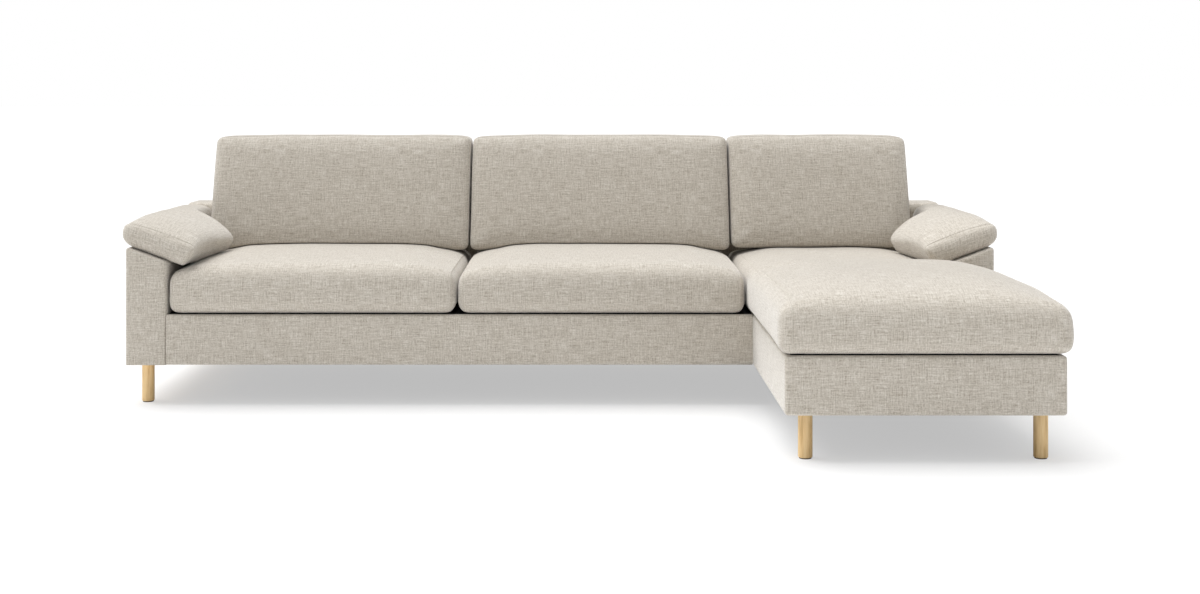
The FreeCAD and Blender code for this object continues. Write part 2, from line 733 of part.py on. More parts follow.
def seat_cushions():
    foot = at("base_top") + size("rest_gap")
    gap = size("side_gap")
    front = at("front_plane")
    rear = at("back_front") - gap
    edge, rise, crown = size("cushion_edge"), size("cushion_edge_rise"), size("cushion_crown")
    for word, x0, x1 in (("left", -at("arm_inner"), at("seat_middle")),
                         ("middle", at("seat_middle"), at("seat_split"))):
        keep_soft(boxed_pad(x0 + gap, x1 - gap, front, rear, foot, edge, rise, crown,
                            size("cushion_bulge")), f"seat_cushion_{word}")


def chaise_cushion():
    """A long stepped cushion: puffed and wide in front, narrow and flatter beside the arm."""
    gap = size("side_gap")
    rounding = size("cushion_round")
    foot = at("base_top") + size("rest_gap")
    left = at("seat_split") + gap
    wide = at("half_width") - gap
    narrow = at("arm_inner") - gap
    front = at("chaise_front") - size("cushion_bulge")
    step = at("front_plane") - size("chaise_split_gap")
    rear = at("back_front") - gap
    edge, rise = size("cushion_edge"), size("cushion_edge_rise")
    flat_crown, full_crown = size("cushion_crown") + rise * 0.6, size("chaise_front_crown")
    valley = (flat_crown + full_crown) / 2
    end_crown = full_crown * 0.06
    reach = step - front
    length = rear - front
    # distance from the front, inset, right edge, rise of the edge, crown
    rows = [(0, 0.8, wide, 0, end_crown),
            (0.2 * rounding, 0.32, wide, 0, full_crown * 0.15),
            (rounding, 0, wide, 0.1, full_crown * 0.4),
            (reach * 0.18, 0, wide, 0.4, full_crown * 0.8),
            (reach * 0.4, 0, wide, 0.5, full_crown),
            (reach * 0.62, 0, wide, 0.5, full_crown),
            (reach * 0.8, 0, wide, 0.4, full_crown * 0.9),
            (reach - rounding, 0, wide, 0.2, valley),
            (reach - 0.3 * rounding, 0, wide - 0.6 * rounding, 0.2, valley * 0.86),
            (reach + 0.4 * rounding, 0, narrow, 0.2, valley * 0.86),
            (reach + 3 * rounding, 0, narrow, 0.2, flat_crown),
            (length - rounding, 0, narrow, 0.2, flat_crown),
            (length - 0.2 * rounding, 0.3, narrow, 0.1, flat_crown * 0.6),
            (length, 0.8, narrow, 0, end_crown)]
    wires = []
    for d, inset, right, share, crown in rows:
        top = foot + edge + rise * share
        corners = shrink([(left, foot), (left, top), (right, top), (right, foot)],
                         inset * rounding)
        bulge = size("cushion_bulge") * 0.3
        wires.append(soft_section(corners, [0, rounding, rounding, 0], [rounding * 0.4] * 4,
                                  [bulge, crown, bulge, 0],
                                  lambda a, b, d=d: Vector(a, front + d, b)))
    keep_soft(Part.makeLoft(wires, True, True), "chaise_cushion")


def seat_top(y):
    """Height of a full seat cushion's top at one depth, from its arc."""
    rounding = size("cushion_round")
    front = at("front_plane") + rounding
    rear = at("back_front") - size("side_gap") - rounding
    half = (rear - front) / 2
    share = (y - (front + rear) / 2) / half
    foot = at("base_top") + size("rest_gap")
    return foot + seat_peak() - size("cushion_crown") * share * share


def back_cushion(x0, x1, drop):
    """A leaning boxed cushion whose foot is lowered by drop while its top stays."""
    front = at("back_front") - size("back_cushion_room")
    foot_back = front + size("back_cushion_thick") - size("back_foot_taper")
    foot_front = seat_top(front) + size("settling_room") - drop
    foot_rear = seat_top(foot_back) + size("settling_room") - drop
    top = size("back_cushion_top")
    lean = (top - foot_front) * math.tan(math.radians(size("back_lean_angle")))
    corners = [(front, foot_front), (front + lean, top),
               (front + lean + size("back_cushion_top_thick"), top), (foot_back, foot_rear)]
    rounding = size("back_cushion_round")
    wires = []
    for x, inset, full in stations(x0, x1, rounding):
        bulge = size("back_bulge") * full
        bows = [0.5 + bulge, 0.5 + bulge * 0.5, 0, 0]
        wires.append(soft_section(shrink(corners, inset), [0, rounding, rounding, 0],
                                  [rounding * 0.5] * 4, bows, lambda a, b, x=x: Vector(x, a, b)))
    return Part.makeLoft(wires, True, True)


def back_cushions():
    """Each back cushion is lowered until its foot rests on the cushion below it."""
    gap = size("side_gap")
    spans = (("left", -at("arm_inner") + gap, at("seat_middle") - gap, "seat_cushion_left"),
             ("middle", at("seat_middle") + gap, at("seat_split") - gap, "seat_cushion_middle"),
             ("right", at("seat_split") + gap, at("arm_inner") - size("back_arm_gap"),
              "chaise_cushion"))
    for word, x0, x1, support in spans:
        below = [obj.Shape for obj in nodes if obj.Label == support][0]
        drop = 0
        for _ in range(4):
            shape = back_cushion(x0, x1, drop)
            drop += shape.distToShape(below)[0] - size("rest_gap")
        keep_soft(back_cushion(x0, x1, drop), f"back_cushion_{word}")


def arm_pillow(side):
    """A plump boxed pillow draped over the sloping arm, with its inner edge over the seat."""
    outer = at("half_width")
    inner = at("arm_inner")
    slope = size("arm_slope_drop") / size("arm_thickness")
    lift = size("rest_gap")
    thick = size("pillow_thick")
    arm_top = size("arm_height")
    front = at("front_plane") + size("pillow_setback")
    rear = at("back_front") - size("pillow_setback")
    free_end = at("back_front") - size("back_cushion_room")
    rounding = size("pillow_round")
    reach = size("pillow_reach")
    tuck = size("pillow_tuck")
    wing_clear = size("pillow_wing_clear")
    overhang = size("pillow_overhang")
    full_crown = size("pillow_crown")
    length = rear - front
    free = free_end - front
    # distance from the front, inset, fullness, crown and inward reach past the arm
    rows = [(0, 0.7, 0.54, full_crown * 0.25, reach),
            (0.8 * rounding, 0, 1, full_crown * 0.6, reach),
            (free * 0.5, 0, 1, full_crown, reach),
            (free - rounding * 2, 0, 1, full_crown, reach),
            (free - rounding * 0.5, 0, 1, full_crown * 0.9, reach * 0.6),
            (free + rounding * 0.4, 0, 1, full_crown * 0.7, -wing_clear),
            (length - 0.8 * rounding, 0, 1, full_crown * 0.6, -wing_clear),
            (length, 0.7, 0.54, full_crown * 0.25, -wing_clear)]
    wires = []
    for d, inset, full, crown, past in rows:
        x_in = inner - past
        low = arm_top - slope * (outer - x_in - tuck) + lift
        top_outer = arm_top + thick
        corners = [(outer, arm_top + lift), (outer + overhang, top_outer),
                   (x_in, top_outer - slope * (outer - x_in)), (x_in + tuck, low)]
        corners = shrink(corners, inset * rounding * 0.8)
        bulge = size("pillow_bulge") * (0.2 + 0.8 * full)
        wires.append(soft_section(corners, [0, 0, rounding * 0.7, 0], [rounding * 0.3] * 4,
                                  [bulge * 0.75, crown, 0, 0],
                                  lambda a, b, d=d: Vector(side * a, front + d, b)))
    word = "left" if side < 0 else "right"
    keep_soft(Part.makeLoft(wires, True, True), f"arm_pillow_{word}")


sofa_base()
chaise_base()
corner_blocks()
legs()
arm(-1)
arm(1)
keep_together("arm_bolts", all_arm_bolts)
back_frame("sofa", "At.sofa_length", "-At.arm_inner", sofa_post_count)
back_frame("chaise", "At.arm_inner - At.chaise_left", "At.chaise_left", chaise_post_count)
joining_plates()
seat_cushions()
chaise_cushion()
back_cushions()
arm_pillow(-1)
arm_pillow(1)
doc.recompute()

# Check every object, then write one file for each piece
for obj in doc.Objects:
    if "Invalid" in obj.State or "Error" in obj.State:
        raise ValueError(f"{obj.Name} failed: {obj.State}")
for obj in nodes:
    if obj.Shape.isNull() or not obj.Shape.isValid() or not obj.Shape.Solids:
        raise ValueError(f"{obj.Label} has no valid solid")
os.makedirs("parts", exist_ok=True)
for obj in nodes:
    obj.Shape.exportStep(f"parts/{obj.Label}.step")
box_all = Part.makeCompound([obj.Shape for obj in nodes]).BoundBox
print(len(nodes), "nodes,", sum(len(obj.Shape.Solids) for obj in nodes), "solids, box", box_all)
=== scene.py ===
import math

import bmesh
import bpy
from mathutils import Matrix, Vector, noise
from mathutils.bvhtree import BVHTree


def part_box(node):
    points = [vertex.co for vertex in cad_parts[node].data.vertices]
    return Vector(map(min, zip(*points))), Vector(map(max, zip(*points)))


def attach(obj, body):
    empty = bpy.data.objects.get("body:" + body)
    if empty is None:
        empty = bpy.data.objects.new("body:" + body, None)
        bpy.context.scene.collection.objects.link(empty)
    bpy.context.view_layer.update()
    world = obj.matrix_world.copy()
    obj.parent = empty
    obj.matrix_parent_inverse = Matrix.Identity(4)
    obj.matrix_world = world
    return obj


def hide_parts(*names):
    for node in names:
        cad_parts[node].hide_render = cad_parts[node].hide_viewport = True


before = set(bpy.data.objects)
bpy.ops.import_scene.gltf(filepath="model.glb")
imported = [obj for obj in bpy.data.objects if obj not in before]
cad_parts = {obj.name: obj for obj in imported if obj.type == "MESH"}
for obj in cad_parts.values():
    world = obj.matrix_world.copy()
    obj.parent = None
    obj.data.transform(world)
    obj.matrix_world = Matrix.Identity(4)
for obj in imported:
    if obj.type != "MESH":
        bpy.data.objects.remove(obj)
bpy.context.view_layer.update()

# Places read from the frame, in metres
arm_low, arm_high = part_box("left_arm_cover")
half_width = -arm_low[0]
arm_inner = -arm_high[0]
front_plane = arm_low[1]
back_plane = arm_high[1]
base_bottom = arm_low[2]
base_low, base_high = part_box("chaise_front_border")
chaise_left = base_low[0]
chaise_front = base_low[1]
base_top = base_high[2]
back_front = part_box("sofa_back_cover")[0][1]

# Covers of the arms, the back and the base
arm_top = 0.511
arm_slope_drop = 0.049
wing_lowering = 0.012
wing_round = 0.034
edge_round = 0.011
back_round = 0.016
panel_round = 0.010
rear_round = 0.004

# Loose cushions
side_gap = 0.003
deck_gap = 0.002
back_gap = 0.004
rest_gap = 0.003
cushion_edge = 0.131
seam_radius = 0.0013

# The filling of the covers: pressure, frames, and the room that each neighbour leaves
filling_pressure = 4
filling_frames = 20
spare_room = 0.001

# Places closer than this count as one, and an edge this true to an axis runs along it
near = 0.001
straight = 0.9


# Modelling by hand
def choose(piece):
    bpy.ops.object.select_all(action="DESELECT")
    piece.select_set(True)
    bpy.context.view_layer.objects.active = piece


def start_edit(piece, mode="EDGE"):
    choose(piece)
    bpy.ops.object.mode_set(mode="EDIT")
    bpy.ops.mesh.select_mode(type=mode)
    bpy.ops.mesh.select_all(action="DESELECT")


def end_edit():
    bpy.ops.object.mode_set(mode="OBJECT")


def pick_edges(piece, wanted):
    """Selects the edges that are wanted by their middle and their direction."""
    mesh = bmesh.from_edit_mesh(piece.data)
    for edge in mesh.edges:
        first, second = edge.verts[0].co, edge.verts[1].co
        edge.select_set(wanted((first + second) / 2, (second - first).normalized()))
    bmesh.update_edit_mesh(piece.data)


def block(name, low, high):
    """A cube at its real size and place."""
    bpy.ops.object.select_all(action="DESELECT")
    centre = [(a + b) / 2 for a, b in zip(low, high)]
    bpy.ops.mesh.primitive_cube_add(size=1, location=centre)
    piece = bpy.context.object
    piece.name = name
    piece.scale = [b - a for a, b in zip(low, high)]
    bpy.ops.object.transform_apply(location=True, rotation=True, scale=True)
    return piece


def lay_on_cloth(piece):
    """Each panel gets its place on the flat cloth, at its real size."""
    start_edit(piece)
    bpy.ops.mesh.select_all(action="SELECT")
    bpy.ops.uv.cube_project(cube_size=1.0, correct_aspect=False, scale_to_bounds=False)
    end_edit()


def bevelled(piece, wanted, radius, segments):
    start_edit(piece)
    pick_edges(piece, wanted)
    bpy.ops.mesh.bevel(offset=radius, segments=segments, affect="EDGES")
    end_edit()


def upholster(piece, material, body, node):
    """The piece takes a CAD node's place on its body."""
    piece.name = node + "_upholstery"
    piece.data.materials.clear()
    piece.data.materials.append(material)
    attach(piece, body)
    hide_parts(node)


# Soft shaping
def span(value, low, high):
    """Where a value lies between two ends, from -1 at the low one to 1 at the high one."""
    return max(-1.0, min(1.0, (2 * value - low - high) / (high - low)))


def between(low, high, share):
    """The value at a share from -1 to 1, the reverse of span."""
    return low + (high - low) * (share + 1) / 2


def dome(share, power):
    """1 in the middle and 0 at the ends; a higher power is flatter in the middle."""
    return max(0.0, 1 - abs(share) ** power)


def eased(share):
    """Runs from 0 to 1 as the share does, and starts and ends gently."""
    share = max(0.0, min(1.0, share))
    return share * share * (3 - 2 * share)


def cell_block(name, low, high, cell):
    """A block whose faces are cut into even cells along each axis."""
    piece = block(name, low, high)
    start_edit(piece)
    for axis in range(3):
        bpy.ops.mesh.select_all(action="DESELECT")
        pick_edges(piece, lambda middle, along: abs(along[axis]) > straight)
        cuts = max(1, round((high[axis] - low[axis]) / cell) - 1)
        bpy.ops.mesh.subdivide(number_cuts=cuts)
    end_edit()
    lay_on_cloth(piece)
    return piece


def ring(piece, axis, place):
    """The points of a divided block on the cut nearest to a place, in order round the axis."""
    points = [vertex.co for vertex in piece.data.vertices]
    cuts = {round(point[axis], 5) for point in points}
    nearest = min(sorted(cuts), key=lambda cut: abs(cut - place))
    first, second = [other for other in range(3) if other != axis]
    low = [min(point[i] for point in points) for i in range(3)]
    high = [max(point[i] for point in points) for i in range(3)]
    found = []
    for index, point in enumerate(points):
        if abs(point[axis] - nearest) < near:
            a = span(point[first], low[first], high[first])
            b = span(point[second], low[second], high[second])
            found.append((math.atan2(b, a), index))
    return [index for turn, index in sorted(found)]


def round_off(piece, low, high, radii):
    """Rounds a divided block's edges; radii gives the x, y and z radius near a corner."""
    for vertex in piece.data.vertices:
        point = vertex.co
        v, w = span(point.y, low[1], high[1]), span(point.z, low[2], high[2])
        radius = radii(v, w)
        inner, share = [], []
        for axis in range(3):
            core = min(max(point[axis], low[axis] + radius[axis]), high[axis] - radius[axis])
            inner.append(core)
            share.append((point[axis] - core) / radius[axis])
        length = math.sqrt(sum(s * s for s in share))
        if length > 0:
            reach = max(abs(s) for s in share)
            vertex.co = [inner[i] + radius[i] * share[i] / length * reach for i in range(3)]


def reshape(piece, low, high, place):
    """Moves each point of a block to where place puts its three shares, each from -1 to 1."""
    for vertex in piece.data.vertices:
        u, v, w = (span(vertex.co[i], low[i], high[i]) for i in range(3))
        vertex.co = place(u, v, w)


def fill_cover(piece, seams, most):
    """Air pressure in a cloth skin held at its seams, as stuffing fills a sewn cover."""
    choose(piece)
    before = [vertex.co.copy() for vertex in piece.data.vertices]
    held = piece.vertex_groups.new(name="seams")
    held.add([index for seam in seams for index in seam], 1.0, "REPLACE")
    cloth = piece.modifiers.new("filling", "CLOTH")
    cloth.settings.use_pressure = True
    cloth.settings.uniform_pressure_force = filling_pressure
    cloth.settings.effector_weights.gravity = 0
    cloth.settings.vertex_group_mass = "seams"
    cloth.point_cache.frame_start = 1
    cloth.point_cache.frame_end = filling_frames
    for number in range(1, filling_frames + 1):
        bpy.context.scene.frame_set(number)
    bpy.ops.object.modifier_apply(modifier="filling")
    bpy.context.scene.frame_set(1)
    for vertex, old in zip(piece.data.vertices, before):
        move = vertex.co - old
        if move.length > most:
            move = move.normalized() * most
        move.x = max(-spare_room, min(spare_room, move.x))
        move.y = min(spare_room, move.y)
        move.z = max(0.0, move.z)
        vertex.co = old + move


def soft_waves(piece, height, length, seed):
    """Slight unevenness of stuffed fabric, on all but the resting faces."""
    steepest = -0.4
    for vertex in piece.data.vertices:
        wave = noise.noise(vertex.co / length + Vector((seed, 0, 0)))
        if vertex.normal.z > steepest:
            vertex.co += vertex.normal * wave * height


def rest_on(piece, below, clearance):
    """Lifts the foot of a soft piece wherever it would sink into the cushion below."""
    surface = BVHTree.FromObject(below, bpy.context.evaluated_depsgraph_get())
    for vertex in piece.data.vertices:
        above = Vector((vertex.co.x, vertex.co.y, 1.0))
        hit = surface.ray_cast(above, Vector((0, 0, -1)))[0]
        if hit and vertex.co.z < hit.z + clearance:
            vertex.co.z = hit.z + clearance


def refine(piece):
    choose(piece)
    soft = piece.modifiers.new("soft", "SUBSURF")
    soft.levels = soft.render_levels = 1
    bpy.ops.object.modifier_apply(modifier="soft")
    bpy.ops.object.shade_smooth()


def sew(piece, seams, material, body):
    """A thin raised seam along each ring of points, as one piece beside its cushion."""
    name = piece.name + "_seams"
    lines = bpy.data.curves.new(name, "CURVE")
    lines.dimensions = "3D"
    lines.bevel_depth = seam_radius
    lines.bevel_resolution = 1
    for seam in seams:
        line = lines.splines.new("POLY")
        line.points.add(len(seam) - 1)
        for point, index in zip(line.points, seam):
            point.co = (*piece.data.vertices[index].co, 1)
        line.use_cyclic_u = True
    made = bpy.data.objects.new(name, lines)
    bpy.context.collection.objects.link(made)
    choose(made)
    bpy.ops.object.convert(target="MESH")
    made = bpy.context.object
    lay_on_cloth(made)
    choose(made)
    bpy.ops.object.shade_smooth()
    made.data.materials.clear()
    made.data.materials.append(material)
    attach(made, body)


def finish_cushion(piece, seams, material, body, node):
    refine(piece)
    upholster(piece, material, body, node)
    sew(piece, seams, material, body)
    return piece


# Cushions
def seat_cushion(word, x0, x1, material):
    """A crowned box cushion with a bowed front."""
    cell, overhang, seam_inset = 0.016, 0.003, 0.020
    bow, edge_lift, crown = 0.010, 0.020, 0.026
    low = (x0, front_plane - overhang, base_top + deck_gap)
    high = (x1, back_front - back_gap, base_top + cushion_edge)
    piece = cell_block("seat", low, high, cell)
    seams = [ring(piece, 0, x0 + seam_inset), ring(piece, 0, x1 - seam_inset)]

    def radii(v, w):
        front_top = v < 0 < w
        return 0.034 if w < 0 else 0.022, 0.045 if front_top else 0.030, 0.045 if front_top else 0.036

    def place(u, v, w):
        full = dome(u, 5) ** 0.8
        y = between(low[1], high[1], v) - bow * full * dome(w, 2) * (1 - v) / 2
        z = between(low[2], high[2], w)
        z += (w + 1) / 2 * (edge_lift * full + crown * full * dome(v, 2.4))
        return between(x0, x1, u), y, z

    round_off(piece, low, high, radii)
    reshape(piece, low, high, place)
    fill_cover(piece, seams, most=0.005)
    soft_waves(piece, height=0.0016, length=0.13, seed=x0)
    return finish_cushion(piece, seams, material, "seat_" + word, "seat_cushion_" + word)


def chaise_pad(material):
    """One long cushion: wide and puffed in front of the arm, narrow and flatter beside it."""
    cell, seam_inset = 0.018, 0.030
    left_overhang, right_overhang, front_overhang = 0.016, 0.002, 0.006
    bow, bulge, puff_height, rear_height = 0.008, 0.006, 0.062, 0.032
    left, wide = chaise_left - left_overhang, half_width + right_overhang
    narrow = arm_inner - side_gap
    low = (left, chaise_front - front_overhang, base_top + deck_gap)
    high = (wide, back_front - back_gap, base_top + cushion_edge)
    arm_gap, step_length = 0.014, 0.045
    step = front_plane - arm_gap
    piece = cell_block("chaise", low, high, cell)
    seams = [ring(piece, 0, left + seam_inset), ring(piece, 0, wide - seam_inset)]

    def radii(v, w):
        return 0.022, 0.040 if v < 0 < w else 0.026, 0.046 if w > 0 else 0.030

    def place(u, v, w):
        y = between(low[1], high[1], v)
        beside_arm = eased((y - step + step_length) / step_length)
        right = between(wide, narrow, 2 * beside_arm - 1)
        x = between(left, right, u) + bulge * max(0.0, u) * dome(w, 2) * (1 - beside_arm)
        full = dome(u, 4) ** 0.8
        to_step = (y - low[1]) / (step - low[1])
        along = 2 * to_step - 0.95
        puff = puff_height * dome(along, 3 if along < 0 else 9)
        rear = rear_height * min(1, max(0.0, (to_step - 0.9) / 0.2)) * dome(max(0.0, v), 8)
        z = between(low[2], high[2], w) + (w + 1) / 2 * full * (puff + rear)
        y -= bow * full * dome(w, 2) * max(0.0, -v)
        return x, y, z

    round_off(piece, low, high, radii)
    reshape(piece, low, high, place)
    fill_cover(piece, seams, most=0.005)
    soft_waves(piece, height=0.0018, length=0.16, seed=3)
    return finish_cushion(piece, seams, material, "chaise_pad", "chaise_cushion")


def back_cushion(word, x0, x1, material, below):
    """A leaning cushion with a bowed front, whose foot rests on the cushion below."""
    node = "back_cushion_" + word
    cad_low, cad_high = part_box(node)
    cell, seam_inset = 0.016, 0.022
    thick, foot_thick, top_thick, tall = 0.17, 0.172, 0.141, 0.40
    bow, bow_room, foot_gap, top_lift = 0.014, 0.012, 0.001, 0.006
    front, foot, top = cad_low[1] + bow_room, cad_low[2] + foot_gap, cad_high[2] - top_lift
    lean = (top - foot) * math.tan(math.radians(20))
    low, high = (x0, 0.0, 0.0), (x1, thick, tall)
    piece = cell_block("back", low, high, cell)
    seams = [ring(piece, 1, seam_inset), ring(piece, 1, thick - seam_inset)]

    def place(u, v, w):
        at_foot = between(front, front + foot_thick, v)
        at_top = between(front + lean, front + lean + top_thick, v)
        y = between(at_foot, at_top, w) - bow * dome(u, 6) * dome(w, 4) * (1 - v) / 2
        z = between(foot, top, w) + top_lift * dome(u, 4) * max(0.0, w)
        return between(x0, x1, u), y, z

    round_off(piece, low, high, lambda v, w: (0.020, 0.026, 0.020))
    reshape(piece, low, high, place)
    fill_cover(piece, seams, most=0.004)
    soft_waves(piece, height=0.002, length=0.16, seed=x0 + 7)
    rest_on(piece, below, rest_gap + 0.0005)
    return finish_cushion(piece, seams, material, "back_" + word, node)


def arm_pillow(word, side, material, below):
    """A pillow draped over the sloping arm: its tip hangs over the seat, its end is narrow."""
    node = "arm_pillow_" + word
    cad_low, cad_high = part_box(node)
    length = cad_high[1] - cad_low[1]
    cell, seam_inset, tuck, outer_bulge = 0.013, 0.030, 0.040, 0.010
    arm_gap, edge_thick, end_lift, crown = 0.0025, 0.068, 0.012, 0.042
    outer_overhang, front_overlap, more_overlap, rear_inset = 0.008, 0.088, 0.048, 0.022
    free_length, turn_start, turn_length = 0.52, 0.075, 0.08
    slope = arm_slope_drop / (half_width - arm_inner)
    outer, tip = half_width + outer_overhang, arm_inner - front_overlap - more_overlap
    low, high = (0.0, 0.0, 0.0), (0.22, length, 0.08)
    piece = cell_block("pillow", low, high, cell)
    seams = [ring(piece, 1, seam_inset), ring(piece, 1, length - seam_inset)]

    def place(u, v, w):
        y = between(cad_low[1], cad_high[1], v)
        along = y - front_plane
        beside_back = eased((along - free_length + turn_start) / turn_length)
        overlap = front_overlap + more_overlap * min(1.0, along / free_length)
        inner = arm_inner - overlap + (overlap + rear_inset) * beside_back
        x = between(outer, inner, u)
        x += tuck * (1 - w) / 2 * max(0.0, u) ** 2 * (1 - beside_back)
        resting = arm_top + arm_gap - slope * (half_width - x)
        lift = dome(v, 4 if v < 0 else 12)
        full = dome(span(x, tip, outer), 2.2) * lift
        z = between(resting, resting + edge_thick + end_lift * lift + crown * full, w)
        x += outer_bulge * max(0.0, -u) * dome(w, 2)
        return x * side, y, z

    round_off(piece, low, high, lambda v, w: (0.022, 0.022, 0.018 if w > 0 else 0.032))
    reshape(piece, low, high, place)
    start_edit(piece)
    bpy.ops.mesh.select_all(action="SELECT")
    bpy.ops.mesh.normals_make_consistent(inside=False)
    end_edit()
    fill_cover(piece, seams, most=0.003)
    soft_waves(piece, height=0.002, length=0.12, seed=side * 5)
    rest_on(piece, below, rest_gap)
    return finish_cushion(piece, seams, material, "pillow_" + word, node)


# Padded panels
def finish_panel(piece, angle, material, node):
    """Smooth over the rounded edges, flat on the faces."""
    lay_on_cloth(piece)
    choose(piece)
    bpy.ops.object.shade_smooth_by_angle(angle=math.radians(angle))
    upholster(piece, material, "frame", node)


def border(node, material):
    """A base panel, rounded where its outer face turns to the top, the foot and free ends."""
    low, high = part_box(node)
    word = node.split("_")[1]
    axis = 0 if word in ("left", "right") else 1
    face = low[axis] if word in ("front", "left") else high[axis]

    def rounded(middle, along):
        if node == "chaise_front_border":
            return middle.y < high[1] - near
        return abs(middle[axis] - face) < near and abs(along[1 - axis]) > straight

    piece = block(node, low, high)
    bevelled(piece, rounded, rear_round if word == "rear" else panel_round, 5)
    finish_panel(piece, 40, material, node)


def raise_wing(piece, height):
    """Cuts the arm where the back begins and raises the part behind the cut."""
    start_edit(piece)
    bpy.ops.mesh.select_all(action="SELECT")
    bpy.ops.mesh.bisect(plane_co=(0, back_front, 0), plane_no=(0, 1, 0))
    bpy.ops.mesh.select_mode(type="FACE")
    bpy.ops.mesh.select_all(action="DESELECT")
    mesh = bmesh.from_edit_mesh(piece.data)
    for face in mesh.faces:
        face.select_set(face.normal.z > straight and face.calc_center_median().y > back_front)
    bmesh.update_edit_mesh(piece.data)
    bpy.ops.mesh.extrude_region_move(TRANSFORM_OT_translate={"value": (0, 0, height)})
    end_edit()


def slope_arm(piece, inner_x):
    """Lowers the arm's inner top edge as far as the wing."""
    start_edit(piece, "VERT")
    mesh = bmesh.from_edit_mesh(piece.data)
    for vertex in mesh.verts:
        at_inner_top = abs(vertex.co.x - inner_x) < near and abs(vertex.co.z - arm_top) < near
        vertex.select_set(at_inner_top and vertex.co.y < back_front + near)
    bmesh.update_edit_mesh(piece.data)
    bpy.ops.transform.translate(value=(0, 0, -arm_slope_drop))
    end_edit()


def arm(word, side, material):
    """A padded arm whose top slopes down to the seat, with a level wing beside the back."""
    node = word + "_arm_cover"
    low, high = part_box(node)
    wing_top = high[2] - wing_lowering

    def wing_edge(middle, along):
        at_wing_front = middle.z > wing_top - near and middle.y < back_front + near
        return at_wing_front and abs(along.x) > straight

    def rim(middle, along):
        foot = middle.z < base_bottom + near
        valley = abs(middle.y - back_front) < near and middle.z < arm_top + near
        at_side = min(abs(middle.x - low[0]), abs(middle.x - high[0])) < near
        at_end = middle.y < front_plane + near or middle.y > back_plane - near
        return not foot and not valley and (at_side or at_end)

    piece = block(node, low, (high[0], high[1], arm_top))
    raise_wing(piece, wing_top - arm_top)
    slope_arm(piece, high[0] if side < 0 else low[0])
    bevelled(piece, wing_edge, wing_round, 6)
    bevelled(piece, rim, edge_round, 4)
    finish_panel(piece, 35, material, node)


def back_shell(word, material):
    """The sofa's fixed back, with its two long top edges rounded."""
    node = word + "_back_cover"
    low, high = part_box(node)

    def top_edge(middle, along):
        return abs(along.x) > straight and middle.z > high[2] - near

    piece = block(node, low, high)
    bevelled(piece, top_edge, back_round, 5)
    finish_panel(piece, 35, material, node)


# Materials
class Wire:
    """A node's output that takes part in arithmetic; each step adds a Math node."""

    def __init__(self, tree, socket):
        self.tree, self.socket = tree, socket

    def math(self, operation, first, second):
        node = self.tree.nodes.new("ShaderNodeMath")
        node.operation = operation
        for socket, value in zip(node.inputs, (first, second)):
            if isinstance(value, Wire):
                self.tree.links.new(value.socket, socket)
            else:
                socket.default_value = value
        return Wire(self.tree, node.outputs[0])

    def __add__(self, other):
        return self.math("ADD", self, other)

    __radd__ = __add__

    def __mul__(self, other):
        return self.math("MULTIPLY", self, other)

    __rmul__ = __mul__

    def __sub__(self, other):
        return self.math("SUBTRACT", self, other)

    def __rsub__(self, other):
        return self.math("SUBTRACT", other, self)

    def larger(self, other):
        return self.math("MAXIMUM", self, other)


class Nodes:
    """A node tree in which each new node is one call."""

    def __init__(self, tree):
        self.tree = tree

    def feed(self, socket, value):
        if isinstance(value, Wire):
            self.tree.links.new(value.socket, socket)
        else:
            socket.default_value = value

    def node(self, kind, settings=None, output=0, **values):
        made = self.tree.nodes.new(kind)
        for key, value in (settings or {}).items():
            setattr(made, key, value)
        for key, value in values.items():
            self.feed(made.inputs[key.replace("_", " ")], value)
        return Wire(self.tree, made.outputs[output])

    def join(self, kind, first, second, **values):
        """A node that takes two shaders, whose sockets share one name."""
        made = self.node(kind, **values)
        shaders = [socket for socket in made.socket.node.inputs if socket.type == "SHADER"]
        self.feed(shaders[0], first)
        self.feed(shaders[1], second)
        return made


class Finish(Nodes):
    """A material under construction."""

    def __init__(self, name):
        self.material = bpy.data.materials.new(name)
        self.material.use_nodes = True
        super().__init__(self.material.node_tree)
        self.shader = self.tree.nodes["Principled BSDF"]

    def surface(self, **values):
        """Feeds the shader's own sockets with wires or plain values."""
        for key, value in values.items():
            self.feed(self.shader.inputs[key.replace("_", " ")], value)
        return self.material

    def place(self, output="Object"):
        return self.node("ShaderNodeTexCoord", output=output)

    def drawn_noise(self, scale, detail, roughness=0.5):
        """Noise in the object's place, drawn out where a scale is small."""
        drawn = self.node("ShaderNodeMapping", Vector=self.place(), Scale=scale)
        return self.node("ShaderNodeTexNoise", Vector=drawn, Scale=1.0, Detail=detail,
                         Roughness=roughness)

    def bump(self, height, strength, distance):
        return self.node("ShaderNodeBump", Strength=strength, Distance=distance, Height=height)

    def ramp(self, factor, stops):
        made = self.tree.nodes.new("ShaderNodeValToRGB")
        band = made.color_ramp
        while len(band.elements) < len(stops):
            band.elements.new(0.5)
        for element, (place, colour) in zip(band.elements, stops):
            element.position = place
            element.color = (*colour, 1)
        self.feed(made.inputs[0], factor)
        return Wire(self.tree, made.outputs[0])


def slubs(finish, cloth, thread, length, width, seed):
    """Noise drawn out along one thread direction, as long and wide as a slub."""
    scale = [1 / width, 1 / width, 0]
    scale[thread] = 1 / length
    stretched = finish.node("ShaderNodeMapping", Vector=cloth, Scale=scale, Location=(seed, seed, 0))
    return finish.node("ShaderNodeTexNoise", {"noise_dimensions": "2D"}, Vector=stretched,
                       Scale=1.0, Detail=2.0, Roughness=0.5)


